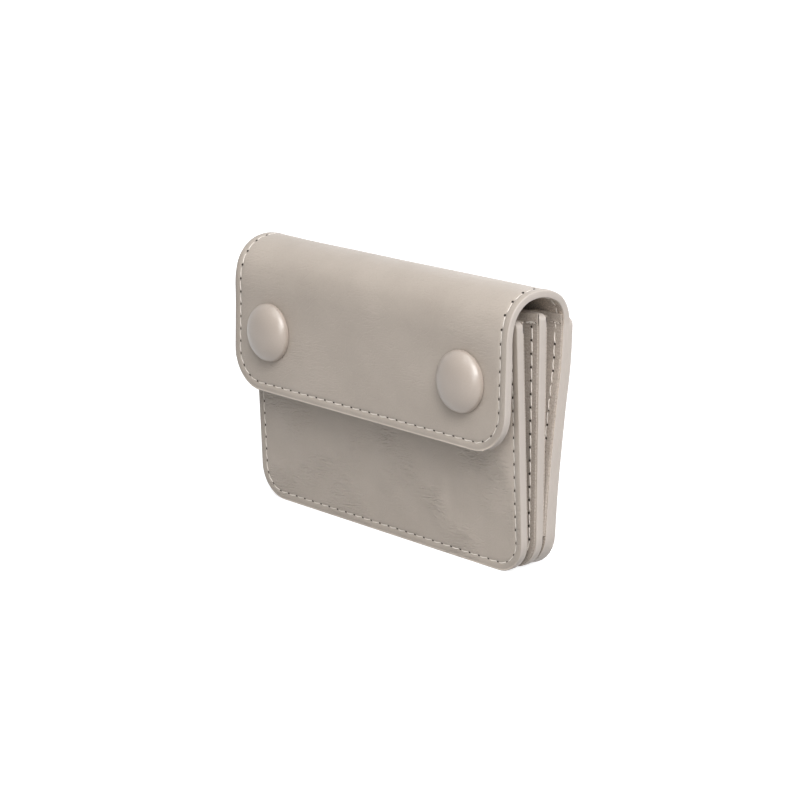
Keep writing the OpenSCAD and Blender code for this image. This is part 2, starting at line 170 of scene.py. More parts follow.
def readMap(tree, name):
    return addNode(tree, "ShaderNodeUVMap", uv_map=name).outputs[0]


def splitPlace(tree, place):
    return addNode(tree, "ShaderNodeSeparateXYZ", {0: place}).outputs


def flatPlace(tree):
    # place on the sheet's flat map, in millimetres
    flatMap = readMap(tree, "flat")
    return addNode(tree, "ShaderNodeMapping", {"Vector": flatMap, "Scale": (1 / mm,) * 3}).outputs[0]


def newMaterial(name):
    material = bpy.data.materials.new(name)
    material.use_nodes = True
    tree = material.node_tree
    return material, tree, tree.nodes["Principled BSDF"]


def directRay(tree):
    # 1 where the camera, a reflection or a clear material looks, 0 where light is gathered
    rays = addNode(tree, "ShaderNodeLightPath").outputs
    glossy = calculate(tree, "MAXIMUM", rays["Is Camera Ray"], rays["Is Glossy Ray"])
    return calculate(tree, "MAXIMUM", glossy, rays["Is Transmission Ray"])


# White studio: floor and world
studio = {
    "floorSize": 14,
    "floorShade": 0.4,   # diffuse part that takes the shadow
    "floorRoughness": 0.9,
    "floorGlow": 0.88,   # what the camera sees even in the shadow
    "fadeStart": 0.4,    # distance at which the floor's glow starts to rise to the world's white
    "fadeEnd": 1.6,
    "ambient": 0.0,
}


def setStudio(look):
    scene = bpy.context.scene
    scene.view_settings.view_transform = "Standard"
    world = bpy.data.worlds.new("white_studio")
    world.use_nodes = True
    scene.world = world
    tree = world.node_tree
    shade = remap(tree, directRay(tree), 0, 1, look["ambient"], 1)
    feed(tree, tree.nodes["Background"], {"Strength": shade, "Color": (1, 1, 1, 1)})

    bpy.ops.mesh.primitive_plane_add(size=look["floorSize"], location=(0, 0, 0))
    floor = bpy.context.object
    floor.name = "studio_floor"
    material, tree, base = newMaterial("white_floor")
    place = addNode(tree, "ShaderNodeTexCoord").outputs["Object"]
    away = addNode(tree, "ShaderNodeVectorMath", {0: place}, operation="LENGTH").outputs["Value"]
    fade = remap(tree, away, look["fadeStart"], look["fadeEnd"], look["floorGlow"], 1)
    glow = calculate(tree, "MULTIPLY", directRay(tree), fade)
    feed(tree, base, {
        "Base Color": (look["floorShade"],) * 3 + (1,), "Roughness": look["floorRoughness"],
        "Emission Color": (1, 1, 1, 1), "Emission Strength": glow,
    })
    floor.data.materials.append(material)


setStudio(studio)
print("camera, lamps and studio placed")


# Small steps that every piece uses
def enter(mode):
    bpy.ops.object.mode_set(mode=mode)


def takeUp(*pieces):
    if bpy.context.mode != "OBJECT":
        enter("OBJECT")
    bpy.ops.object.select_all(action="DESELECT")
    for piece in pieces:
        piece.select_set(True)
    bpy.context.view_layer.objects.active = pieces[0]


def nameIt(name):
    piece = bpy.context.object
    piece.name = piece.data.name = name
    return piece


def pick(piece, kind, test):
    # selects the vertices, edges or faces of the piece in edit mode that pass the test
    bpy.ops.mesh.select_mode(type=kind)
    bpy.ops.mesh.select_all(action="DESELECT")
    mesh = bmesh.from_edit_mesh(piece.data)
    for part in {"VERT": mesh.verts, "EDGE": mesh.edges, "FACE": mesh.faces}[kind]:
        if test(part):
            part.select_set(True)
    bmesh.update_edit_mesh(piece.data)


def applyModifier(piece, kind, **settings):
    takeUp(piece)
    modifier = piece.modifiers.new(kind.lower(), kind)
    for setting, value in settings.items():
        setattr(modifier, setting, value)
    bpy.ops.object.modifier_apply(modifier=modifier.name)


def smoothPiece(piece, degrees=40):
    takeUp(piece)
    bpy.ops.object.shade_smooth_by_angle(angle=math.radians(degrees))


def smoothStep(value):
    share = min(max(value, 0), 1)
    return share * share * (3 - 2 * share)


def setFlatMap(piece, flatMap):
    # gives the piece its flat sheet's own places, in metres
    flatMap.name = "flat"
    for loop in piece.data.loops:
        flatMap.data[loop.index].uv = piece.data.vertices[loop.vertex_index].co.xy


def roundEdges(piece, width, segments, degrees, **settings):
    applyModifier(piece, "BEVEL", width=width, segments=segments, limit_method="ANGLE",
                  angle_limit=math.radians(degrees), **settings)


def cutThrough(place, direction):
    # cuts the whole mesh in edit mode
    bpy.ops.mesh.select_all(action="SELECT")
    bpy.ops.mesh.bisect(plane_co=place, plane_no=direction, threshold=1e-7)


# Materials. Patterns follow each sheet's own flat map, in metres, so they bend with the leather.
leatherLooks = {
    "face_leather": {
        # The side margin factor darkens the margins along the sides as painted shade, partly the pressed
        # margin's own tone; the rim factor pales the outer rim along the ends as painted highlight
        "colour": (0.437, 0.382, 0.332), "shade": (0.384, 0.334, 0.288), "roughness": 0.45, "gloss": 0.35,
        "sideMarginShade": 0.93, "rim": 1.8, "grain": 0.5, "grainDepth": 0.016, "crease": 7, "creaseDepth": 0.05,
        "wrinkle": 0.14, "speckle": 0.03,
    },
    "lining_leather": {
        "colour": (0.55, 0.476, 0.41), "shade": (0.45, 0.38, 0.32), "roughness": 0.65, "gloss": 0.25,
        "grain": 0.7, "grainDepth": 0.04, "crease": 5, "creaseDepth": 0.15, "wrinkle": 0.25, "speckle": 0.3,
        # foot: painted shade, how dark the lining gets towards the foot of the back
        "foot": 0.66,
    },
    "gusset_leather": {
        "colour": (0.41, 0.358, 0.312), "shade": (0.34, 0.292, 0.252), "roughness": 0.6, "gloss": 0.25,
        "grain": 0.6, "grainDepth": 0.035, "crease": 4, "creaseDepth": 0.1, "wrinkle": 0.03, "speckle": 0.18,
    },
    "button_leather": {
        "colour": (0.388, 0.331, 0.286), "shade": (0.364, 0.309, 0.266), "roughness": 0.32, "gloss": 0.55,
        "grain": 0.45, "grainDepth": 0.002, "crease": 30, "creaseDepth": 0.0, "wrinkle": 0.0, "speckle": 0.02,
        "coat": 0.3, "coatRoughness": 0.18,
    },
}
# the face leather with deeper creases for the front panel, its colour about a twentieth lighter as painted
# light
leatherLooks["creased_leather"] = dict(
    leatherLooks["face_leather"], colour=(0.459, 0.401, 0.349), shade=(0.403, 0.351, 0.302), wrinkle=0.65,
)
# painted light: the gusset leather made about a sixth lighter for the rear gussets, where more light reaches
leatherLooks["rear_gusset_lit_leather"] = dict(
    leatherLooks["gusset_leather"], colour=(0.475, 0.415, 0.362), shade=(0.394, 0.338, 0.292),
)


# Sizes of the patterns, in millimetres on the flat map or as noise scales per millimetre
patterns = {
    "clouds": 0.045, "fibres": 1.9, "sheen": 0.12,
    "browning": (95, 125),                      # along the strap, from the flap's bottom edge
    "sides": (47, 51), "ends": (50, 53.5),      # from the middle
    "margin": (2.3, 3.0), "rim": (0.3, 0.75),   # from the outline
    "creaseScale": 0.6, "creaseWidth": 0.02,
    "wrinkleTurn": math.radians(6), "wrinkleSize": (4, 1.1, 1), "wrinklePatches": 0.05,
}


def paintMarginShadeAndRimLight(tree, tint, look, place):
    # painted shade: a slightly darker margin outside the seam along the sides, partly the pressed margin's own
    # tone; painted highlight: a paler rim along the ends, partly the edge paint running onto the face
    inside = splitPlace(tree, readMap(tree, "edge"))[1]
    fromMiddle = calculate(tree, "ABSOLUTE", splitPlace(tree, place)[0])
    sideShadeFactor = remap(tree, fromMiddle, *patterns["sides"], 1, look["sideMarginShade"])
    endRimLightFactor = remap(tree, fromMiddle, *patterns["ends"], look["rim"], 1)
    tint = multiply(tree, tint, remap(tree, inside, *patterns["margin"], sideShadeFactor, 1))
    return multiply(tree, tint, remap(tree, inside, *patterns["rim"], endRimLightFactor, 1))


def makeLeather(name, look):
    material, tree, surface = newMaterial(name)
    place = flatPlace(tree)
    clouds = makeNoise(tree, place, patterns["clouds"], 4, roughness=0.6)
    tint = mixTones(tree, remap(tree, clouds, 0.3, 0.7), look["shade"], look["colour"])
    # fine specks of the fibres
    fibres = makeNoise(tree, place, patterns["fibres"], 3, roughness=0.7)
    specks = remap(tree, fibres, 0.35, 0.65, 1 - look["speckle"], 1 + look["speckle"])
    tint = multiply(tree, tint, specks)
    if "foot" in look:
        # painted shade: darker towards the foot of the back, deep in the rear compartment
        along = splitPlace(tree, place)[1]
        tint = multiply(tree, tint, remap(tree, along, *patterns["browning"], 1, look["foot"]))
    # painted shade on the side margins and painted highlight on the end rims
    if "sideMarginShade" in look:
        tint = paintMarginShadeAndRimLight(tree, tint, look, place)
    sheen = makeNoise(tree, place, patterns["sheen"], 3)
    rough = remap(tree, sheen, 0.3, 0.7, look["roughness"] - 0.05, look["roughness"] + 0.06)
    # fine pebbled grain
    pores = addNode(tree, "ShaderNodeTexVoronoi", {
        "Vector": place, "Scale": 1 / look["grain"], "Smoothness": 0.6,
    }, feature="SMOOTH_F1").outputs["Distance"]
    grain = bump(tree, pores, look["grainDepth"] * mm)
    # long shallow creases, as lines where a warped noise crosses its middle
    warp = makeNoise(tree, place, patterns["creaseScale"] / look["crease"], 5, roughness=0.65, distortion=0.8)
    line = calculate(tree, "ABSOLUTE", calculate(tree, "SUBTRACT", warp, 0.5))
    creases = bump(tree, remap(tree, line, 0, patterns["creaseWidth"]), look["creaseDepth"] * mm, 0.5, grain)
    # close wrinkles across the sheet that come and go
    turned = addNode(tree, "ShaderNodeMapping", {
        "Vector": place, "Rotation": (0, 0, patterns["wrinkleTurn"]), "Scale": patterns["wrinkleSize"],
    }, vector_type="TEXTURE").outputs[0]
    streaks = makeNoise(tree, turned, 1, 3, distortion=1.8)
    coming = remap(tree, makeNoise(tree, place, patterns["wrinklePatches"], 1), 0.42, 0.62)
    wrinkles = bump(tree, calculate(tree, "MULTIPLY", streaks, coming), look["wrinkle"] * mm, under=creases)
    feed(tree, surface, {
        "Base Color": tint, "Roughness": rough, "Specular IOR Level": look["gloss"], "Normal": wrinkles,
    })
    if "coat" in look:
        feed(tree, surface, {"Coat Weight": look["coat"], "Coat Roughness": look["coatRoughness"]})
    return material


paintLook = {
    "colour": (0.475, 0.424, 0.384), "shade": (0.435, 0.388, 0.352), "roughness": 0.5, "gloss": 0.3,
    "brushing": 0.35, "rippleDepth": 0.05 * mm,
    "meeting": 0.48, "furrowWidth": 0.045,  # as shares of the thickness
    "furrowDepth": 0.04 * mm,
}


def makeEdgePaint(look):
    material, tree, surface = newMaterial("edge_paint")
    brushed = makeNoise(tree, flatPlace(tree), look["brushing"], 4)
    ripple = bump(tree, brushed, look["rippleDepth"], 0.6)
    # a faint furrow where the two leathers meet
    depth = splitPlace(tree, readMap(tree, "edge"))[0]
    fromMeeting = calculate(tree, "ABSOLUTE", calculate(tree, "SUBTRACT", depth, look["meeting"]))
    furrow = bump(tree, remap(tree, fromMeeting, 0, look["furrowWidth"]), look["furrowDepth"], 0.5, ripple)
    feed(tree, surface, {
        "Base Color": mixTones(tree, brushed, look["shade"], look["colour"]), "Roughness": look["roughness"],
        "Specular IOR Level": look["gloss"], "Normal": furrow,
    })
    return material


# The hole colour is painted shade: the needle holes are shallow dark discs that stand in for their depth
threadLook = {
    "colour": (0.82, 0.77, 0.71), "shade": (0.5, 0.45, 0.4), "roughness": 0.6, "twist": 1.6,
    "twistDepth": 0.05 * mm, "hole": (0.03, 0.024, 0.02), "holeMottleScale": 900,
}


def makeThread(look):
    material, tree, surface = newMaterial("thread")
    plies = addNode(tree, "ShaderNodeTexWave", {"Vector": readMap(tree, "flat"), "Scale": look["twist"]},
                    bands_direction="DIAGONAL").outputs[0]
    feed(tree, surface, {
        "Base Color": mixTones(tree, plies, look["shade"], look["colour"]), "Roughness": look["roughness"],
        "Normal": bump(tree, plies, look["twistDepth"], 0.5),
    })
    return material


def makeHoleShade(look):
    material, tree, surface = newMaterial("needle_hole_shade")
    # painted shade for the needle hole, mottled at random
    place = addNode(tree, "ShaderNodeTexCoord").outputs["Object"]
    holeMottle = makeNoise(tree, place, look["holeMottleScale"], 2)
    paler = tuple(2 * part for part in look["hole"])
    feed(tree, surface, {"Base Color": mixTones(tree, holeMottle, look["hole"], paler), "Roughness": 0.9})
    return material


materials = {name: makeLeather(name, look) for name, look in leatherLooks.items()}
materials["edge_paint"] = makeEdgePaint(paintLook)
materials["thread"] = makeThread(threadLook)
materials["needle_hole_shade"] = makeHoleShade(threadLook)
print("materials made:", ", ".join(materials))

# The strap: one continuous leather from the flap's bottom edge, over the top, to the foot of the back
strap = {
    "thickness": 2.5 * mm,
    "lean": math.radians(5.2),     # of the back panel
    "bendHeight": 67.6 * mm,       # where the back panel starts to bend over
    # radius of each bend and the heading at its end
    "bends": [(8.6 * mm, 65), (15.6 * mm, 101), (9.1 * mm, 162), (22 * mm, 178)],
    "panelWidth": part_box("back_leather")[1].x * 2,
    "flapWidth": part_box("flap_leather")[1].x * 2,
    "flapLow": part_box("flap_leather")[0].z - 0.2 * mm,
    "footLift": 0.15 * mm,
    # how the back stands out: depth, distance from its foot and reach
    "swell": [(0.7 * mm, 58 * mm, 11 * mm), (-0.5 * mm, 22 * mm, 15 * mm)],
    "fullWidthAt": 90,             # heading at which the flap's width is reached
    "rollThinning": 0.38,          # share of the inner half's thickness that the roll lacks
    "flapThinning": 0.14,
    # how the roll's right and left ends stand up: lift, start from the middle and reach
    "curls": {1: (0.2 * mm, 22 * mm, 25 * mm), -1: (0.4 * mm, 38 * mm, 16 * mm)},
    "curlFrom": 60,                # heading
    # start and reach of each change, from the bend's start, from the flap's and from the curls' heading
    "rollFade": (-3 * mm, 8 * mm), "hangFade": (-8 * mm, 14 * mm), "curlFade": (0, 8 * mm),
}


def alongLeg(leg, step):
    # where the path is a step after the leg's start, and which way it heads there
    heading = leg["heading"]
    if leg["radius"] is None:
        return leg["y"] - step * math.sin(heading), leg["z"] + step * math.cos(heading), heading
    end = heading + step / leg["radius"]
    y = leg["y"] + leg["radius"] * (math.cos(end) - math.cos(heading))
    z = leg["z"] + leg["radius"] * (math.sin(end) - math.sin(heading))
    return y, z, end


def planStrap(plan):
    # legs of the path from the back's foot: where each starts, which way it heads and its bend radius
    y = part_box("back_lining")[0].y + plan["thickness"] / 2 / math.cos(plan["lean"])
    z = travel = 0
    heading = -plan["lean"]
    straight = plan["bendHeight"] / math.cos(plan["lean"])
    turns = [(radius, math.radians(degrees)) for radius, degrees in plan["bends"]]
    plan["legs"] = []
    for radius, end in [(None, heading)] + turns:
        leg = {"travel": travel, "y": y, "z": z, "heading": heading, "radius": radius}
        plan["legs"].append(leg)
        step = radius * (end - heading) if radius else straight
        y, z, heading = alongLeg(leg, step)
        travel += step
    plan["bendTravel"] = straight
    plan["flapTravel"] = travel
    plan["legs"].append({"travel": travel, "y": y, "z": z, "heading": heading, "radius": None})
    plan["end"] = travel + (z - plan["flapLow"]) / -math.cos(heading)
    plan["length"] = plan["end"] - plan["footLift"]


planStrap(strap)


def strapPath(travel):
    leg = [option for option in strap["legs"] if option["travel"] <= max(travel, 0)][-1]
    return alongLeg(leg, travel - leg["travel"])


def backSwell(travel):
    # how far the back stands out at this travel from its foot
    return sum(depth * math.exp(-((travel - height) / reach) ** 2) for depth, height, reach in strap["swell"])


def fadeIn(distance, stretch):
    start, reach = stretch
    return smoothStep((distance - start) / reach)


def layStrap(x, s, n):
    # x across, s from the flap's bottom edge, n outwards from the middle of the strap
    travel = strap["end"] - s
    y, z, heading = strapPath(travel)
    rolled = fadeIn(travel - strap["bendTravel"], strap["rollFade"])
    hanging = fadeIn(travel - strap["flapTravel"], strap["hangFade"])
    if n < 0:
        n *= 1 - strap["rollThinning"] * rolled + (strap["rollThinning"] - strap["flapThinning"]) * hanging
    lift, curlStart, curlReach = strap["curls"][1 if x > 0 else -1]
    crest = fadeIn(travel - travelAt(strap["curlFrom"]), strap["curlFade"]) * (1 - hanging)
    n += backSwell(travel) + lift * smoothStep((abs(x) - curlStart) / curlReach) * crest
    bent = smoothStep((travel - strap["bendTravel"]) / (travelAt(strap["fullWidthAt"]) - strap["bendTravel"]))
    widening = 1 + (strap["flapWidth"] / strap["panelWidth"] - 1) * bent
    return Vector((x * widening, y + n * math.cos(heading), z + n * math.sin(heading)))


def travelAt(degrees):
    # travel at which the strap's path has this heading
    heading = math.radians(degrees)
    bent = [leg for leg in strap["legs"] if leg["radius"] and leg["heading"] <= heading][-1]
    return bent["travel"] + (heading - bent["heading"]) * bent["radius"]


# Flat sheets. A sheet lies on z = 0 with x across and y from 0 to its length, and its outer face up.
def cornerDistance(sheet, x, y):
    # how far a place is inside the sheet's rounded outline
    radius = sheet["startRadius"] if y < sheet["length"] / 2 else sheet["endRadius"]
    across = abs(x) - sheet["width"] / 2 + radius
    along = abs(y - sheet["length"] / 2) - sheet["length"] / 2 + radius
    outside = math.hypot(max(across, 0), max(along, 0))
    return radius - outside - min(max(across, along), 0)


def spread(start, end, step):
    count = max(1, round((end - start) / step))
    return [start + (end - start) * i / count for i in range(count + 1)]


# How sheets are cut and pressed
press = {
    "nearPoint": 0.15 * mm,     # a ring's corner smaller than this is merged to a point
    "merge": 0.35 * mm,
    "grooveReach": 0.32 * mm,   # of the pressed seam, to each side
    "waveSize": 26 * mm,
    "waveFade": 9 * mm,         # distance from the outline where the waves are full
}


def longCuts(width):
    # cuts along a sheet, inside its rings
    return spread(-width / 2 + 5.5 * mm, width / 2 - 5.5 * mm, 2.2 * mm)


def cutSheet(name, sheet):
    bpy.ops.mesh.primitive_plane_add(size=1, location=(0, sheet["length"] / 2, 0))
    piece = nameIt(name)
    takeUp(piece)
    bpy.ops.transform.resize(value=(sheet["width"], sheet["length"], 1))
    bpy.ops.object.transform_apply(location=True, rotation=True, scale=True)
    enter("EDIT")
    middle = sheet["length"] / 2
    for radius, side in ((sheet["startRadius"], -1), (sheet["endRadius"], 1)):
        pick(piece, "VERT", lambda vert: (vert.co.y - middle) * side > middle * 0.999)
        bpy.ops.mesh.bevel(offset=radius, segments=sheet["cornerSegments"], affect="VERTICES", profile=0.5)
    # rings that follow the outline, for the rounded edge and the pressed seam
    area = sheet["width"] * sheet["length"]
    reached = 0
    for ring in sheet["rings"]:
        pick(piece, "FACE", lambda face: face.calc_area() > area / 2)
        bpy.ops.mesh.inset(thickness=ring - reached, depth=0, use_even_offset=True)
        reached = ring
        if 0 < min(sheet["startRadius"], sheet["endRadius"]) - ring < press["nearPoint"]:
            bpy.ops.mesh.remove_doubles(threshold=press["merge"])
    for y in sheet["crossCuts"]:
        cutThrough((0, y, 0), (0, 1, 0))
    for x in sheet["longCuts"]:
        cutThrough((x, 0, 0), (1, 0, 0))
    applyModifier(piece, "SOLIDIFY", thickness=sheet["thickness"], offset=0)
    roundEdges(piece, sheet["rounding"], 4, 60, use_clamp_overlap=False)
    setFlatMap(piece, piece.data.uv_layers.new(name="flat"))
    # a second map: place in the thickness from 0 to 1, and distance from the outline in millimetres
    edgeMap = piece.data.uv_layers.new(name="edge")
    for loop in piece.data.loops:
        x, y, n = piece.data.vertices[loop.vertex_index].co
        edgeMap.data[loop.index].uv = (n / sheet["thickness"] + 0.5, cornerDistance(sheet, x, y) / mm)
    for slotName in sheet["materials"]:
        piece.data.materials.append(materials[slotName])
    for face in piece.data.polygons:
        face.material_index = 2 if abs(face.normal.z) < 0.97 else (0 if face.normal.z > 0 else 1)
    return piece


def pressSheet(piece, sheet):
    # presses the seam into both faces and lets the leather swell softly beside it
    half = sheet["thickness"] / 2
    margin = sheet["seamMargin"]
    for vertex in piece.data.vertices:
        x, y, n = vertex.co
        inside = cornerDistance(sheet, x, y)
        side = max(-1, min(1, n / half))
        groove = sheet["seamDepth"] * math.exp(-((inside - margin) / press["grooveReach"]) ** 2)
        welt = sheet["welt"] * math.sin(math.pi * min(max(inside / margin, 0), 1)) ** 2
        wave = sheet["wave"] * noise.noise(Vector((x, y, sheet["seed"])) / press["waveSize"])
        vertex.co.z += side * (welt - groove) + wave * smoothStep(inside / press["waveFade"])
        if "dents" in sheet:
            vertex.co.z -= sum(
                dent["depth"] * math.exp(-((math.hypot(x - dent["x"], y - dent["y"]) - dent["radius"])
                                           / dent["spread"]) ** 2)
                for dent in sheet["dents"]
            )


def layOn(piece, lay):
    for vertex in piece.data.vertices:
        vertex.co = lay(*vertex.co)
    piece.data.update()


def partAt(piece, y, name):
    # separates what lies beyond y
    takeUp(piece)
    enter("EDIT")
    pick(piece, "FACE", lambda face: face.calc_center_median().y > y)
    bpy.ops.mesh.separate(type="SELECTED")
    enter("OBJECT")
    (part,) = [other for other in bpy.context.selected_objects if other != piece]
    part.name = part.data.name = name
    return part


def closeEnds(piece):
    takeUp(piece)
    enter("EDIT")
    bpy.ops.mesh.select_mode(type="EDGE")
    bpy.ops.mesh.select_all(action="DESELECT")
    bpy.ops.mesh.select_non_manifold()
    bpy.ops.mesh.edge_face_add()
    enter("OBJECT")


# Seams: one stitch with its needle hole, a dark disc of painted shade, copied along a row
stitch = {
    "pitch": 3.7 * mm,
    "length": 3.42 * mm,
    "thread": 0.18 * mm,     # radius
    "lift": 0.04 * mm,
    "sink": 0.34 * mm,       # how far the ends dive into the leather
    "bow": 0.16 * mm,        # sideways slack between two needle holes
    "slant": math.radians(4),
    "hole": 0.34 * mm,
    "holeLift": 0.11 * mm,
    "holeDepth": 0.3 * mm,
    "holeRim": 0.25,         # share of the hole's radius
    "holeHollow": 0.03 * mm,
    "taper": 0.3,            # share of the thickness that the ends lack
}


def makeStitch(plan):
    half = plan["length"] / 2
    bpy.ops.mesh.primitive_cylinder_add(vertices=8, radius=plan["thread"], depth=plan["length"],
                                        rotation=(0, math.pi / 2, 0))
    thread = nameIt("stitch_thread")
    takeUp(thread)
    bpy.ops.object.transform_apply(location=True, rotation=True, scale=True)
    enter("EDIT")
    for share in (-0.9, -0.72, -0.4, 0, 0.4, 0.72, 0.9):
        cutThrough((share * half, 0, 0), (1, 0, 0))
    enter("OBJECT")
    flatMap = thread.data.uv_layers.active
    flatMap.name = "flat"
    for vertex in thread.data.vertices:
        share = abs(vertex.co.x) / half
        slim = 1 - plan["taper"] * share ** 6
        vertex.co.y = vertex.co.y * slim - plan["bow"] * (1 - share ** 2)
        vertex.co.z = vertex.co.z * slim * 0.9 + plan["lift"] - plan["sink"] * share ** 7
    thread.data.materials.append(materials["thread"])
    bpy.ops.mesh.primitive_cylinder_add(
        vertices=10, radius=plan["hole"], depth=plan["holeDepth"],
        location=(plan["pitch"] / 2, 0, plan["holeLift"] - plan["holeDepth"] / 2),
    )
    hole = nameIt("stitch_hole_shade")
    takeUp(hole)
    bpy.ops.object.transform_apply(location=True, rotation=True, scale=True)
    hole.data.uv_layers.active.name = "flat"
    enter("EDIT")
    pick(hole, "FACE", lambda face: face.normal.z > 0.9)
    bpy.ops.mesh.inset(thickness=plan["hole"] * plan["holeRim"], depth=-plan["holeHollow"])
    enter("OBJECT")
    hole.data.materials.append(materials["needle_hole_shade"])
    takeUp(thread, hole)
    bpy.ops.object.join()
    smoothPiece(thread, 60)
    return thread


stitchPattern = makeStitch(stitch)


def outlineRow(sheet, margin, pitch):
    # walks round the sheet at the margin: place and direction of each stitch
    corners = []
    halfWidth = sheet["width"] / 2 - margin
    ends = ((sheet["startRadius"], margin, (3, 0)), (sheet["endRadius"], sheet["length"] - margin, (1, 2)))
    for radius, y, turns in ends:
        bend = max(radius - margin, 0)
        inward = 1 if y < sheet["length"] / 2 else -1
        for turn in turns:
            side = 1 if turn in (0, 1) else -1
            start = {3: math.pi, 0: -math.pi / 2, 1: 0, 2: math.pi / 2}[turn]
            centre = Vector((side * (halfWidth - bend), y + inward * bend))
            corners.append((turn, [centre + bend * Vector((math.cos(a), math.sin(a)))
                                   for a in spread(start, start + math.pi / 2, math.pi / 24)]))
    ordered = [points for turn in (0, 1, 2, 3) for found, points in corners if found == turn]
    outline = [point for points in ordered for point in points]
    lengths = [(outline[(i + 1) % len(outline)] - outline[i]).length for i in range(len(outline))]
    count = round(sum(lengths) / pitch)
    places = []
    for i in range(count):
        left = sum(lengths) * (i + 0.5) / count
        k = 0
        while left > lengths[k]:
            left -= lengths[k]
            k += 1
        leg = outline[(k + 1) % len(outline)] - outline[k]
        places.append((outline[k] + leg * (left / lengths[k]), leg.normalized()))
    return places


def sewRow(name, places, lay, side=1, size=1):
    # places: flat place, direction and height of each stitch. side -1 sews the inner face
    reach = 0.5 * mm
    stitches = []
    for place, direction, height in places:
        here = lay(place.x, place.y, height)
        ahead = lay(place.x + direction.x * reach, place.y + direction.y * reach, height)
        along = (ahead - here).normalized()
        out = (lay(place.x, place.y, height + reach * side) - here).normalized()
        across = out.cross(along).normalized()
        along = across.cross(out)
        turned = Matrix((along, across, out)).transposed() @ Matrix.Rotation(stitch["slant"], 3, "Z")
        copy = stitchPattern.copy()
        copy.data = stitchPattern.data.copy()
        copy.matrix_world = Matrix.Translation(here) @ turned.to_4x4() @ Matrix.Scale(size, 4)
        bpy.context.collection.objects.link(copy)
        stitches.append(copy)
    takeUp(*stitches)
    bpy.ops.object.join()
    seam = nameIt(name)
    bpy.ops.object.transform_apply(location=True, rotation=True, scale=True)
    return seam


# The strap's sheet: cut finely where it bends, and parted where the roll's lengths meet
strapMargin = 2.5 * mm
partings = [strap["end"] - travelAt(120), strap["end"] - travelAt(60)]
seamRings = [0.7, 1.3, 1.7, 2.1, 2.3, 2.5, 2.7, 2.9, 3.3, 4.2]
strapSheet = {
    "width": strap["panelWidth"], "length": strap["length"], "thickness": strap["thickness"],
    "startRadius": 11.5 * mm, "endRadius": 9.5 * mm, "cornerSegments": 14, "rounding": 0.35 * mm,
    "rings": [ring * mm for ring in seamRings],
    "materials": ("face_leather", "lining_leather", "edge_paint"),
    "seamMargin": strapMargin, "seamDepth": 0.2 * mm, "welt": 0.13 * mm,
    "wave": 0.1 * mm, "seed": 3.0,
}
bendStart = strap["end"] - strap["flapTravel"]
bendEnd = strap["end"] - strap["bendTravel"]
strapSheet["crossCuts"] = (
    spread(5 * mm, bendStart - 1 * mm, 2 * mm) + spread(bendStart, bendEnd, 0.75 * mm)
    + spread(bendEnd + 2 * mm, strap["length"] - 5 * mm, 3 * mm)
    + [parting + offset * mm for parting in partings for offset in (-0.06, 0, 0.06)]
)
strapSheet["longCuts"] = longCuts(strap["panelWidth"])
buttonPlace = [sum(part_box("button_cover_" + word), Vector()) / 2 for word in ("left", "right")]
buttonDrop = strapPath(strap["flapTravel"])[1] - buttonPlace[0].z
buttonTravel = strap["flapTravel"] + buttonDrop / math.cos(math.radians(2))
strapSheet["dents"] = [
    {"x": place.x * strap["panelWidth"] / strap["flapWidth"], "y": strap["end"] - buttonTravel,
     "radius": 8.7 * mm, "spread": 1.6 * mm, "depth": 0.18 * mm}
    for place in buttonPlace
]


def makeStrap():
    flap = cutSheet("strap_flap", strapSheet)
    pressSheet(flap, strapSheet)
    roll = partAt(flap, partings[0], "strap_roll")
    back = partAt(roll, partings[1], "strap_back")
    for piece in (flap, roll, back):
        closeEnds(piece)
        layOn(piece, layStrap)
        smoothPiece(piece)
    return flap, roll, back


strapFlap, strapRoll, strapBack = makeStrap()
print("strap laid over the top,", round(strap["length"] / mm, 1), "mm long")


# Bodies that each length of the strap joins, and the headings between which it bends
strapBends = {
    "back": ("back", "roll_rear", -5, 57),
    "roll": ("roll_rear", "roll_front", 63, 117),
    "flap": ("roll_front", "flap", 123, 177.9),
}


def blendStrap(piece, region):
    parent, child, *headings = strapBends[region]
    start, end = (layStrap(0, strap["end"] - travelAt(degrees), 0) for degrees in headings)
    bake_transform(piece)


for region, length in (("back", strapBack), ("roll", strapRoll), ("flap", strapFlap)):
    blendStrap(length, region)
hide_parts("back_leather", "back_lining")
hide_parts("roll_rear_leather", "roll_rear_lining", "roll_front_leather", "roll_front_lining")
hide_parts("flap_leather", "flap_lining")


# Slip pocket on the back, glued and painted together with the strap's edge
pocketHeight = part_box("back_slip_pocket")[1].z + 2.2 * mm
pocket = {
    "thickness": 1.2 * mm,
    "bedded": 0.9 * mm,   # how far it runs on into the strap's rounded edge
    "wider": 0.06 * mm,   # than the strap, so that the edges don't share a face
}
pocketSheet = dict(
    strapSheet, width=strap["panelWidth"] + pocket["wider"],
    length=pocketHeight / math.cos(strap["lean"]) - strap["footLift"],
    thickness=pocket["thickness"] + pocket["bedded"],
    startRadius=1.8 * mm, endRadius=9.5 * mm, cornerSegments=8, rounding=0.35 * mm,
    rings=[ring * mm for ring in [0.7, 1.2, 1.7, 2.1, 2.3, 2.5, 2.7, 2.9, 3.3, 4.2]],
    seed=8.0,
)
pocketSheet.pop("dents")
pocketSheet["crossCuts"] = spread(6 * mm, pocketSheet["length"] - 6 * mm, 3 * mm)
pocketStart = strap["length"] - pocketSheet["length"]
pocketMiddle = strap["thickness"] / 2 + pocket["thickness"] - pocketSheet["thickness"] / 2


def layPocket(x, s, n):
    return layStrap(x, s + pocketStart, n + pocketMiddle)


slipPocket = cutSheet("slip_pocket_panel", pocketSheet)
pressSheet(slipPocket, pocketSheet)
layOn(slipPocket, layPocket)
smoothPiece(slipPocket)
blendStrap(slipPocket, "back")
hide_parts("back_slip_pocket")
print("slip pocket made")


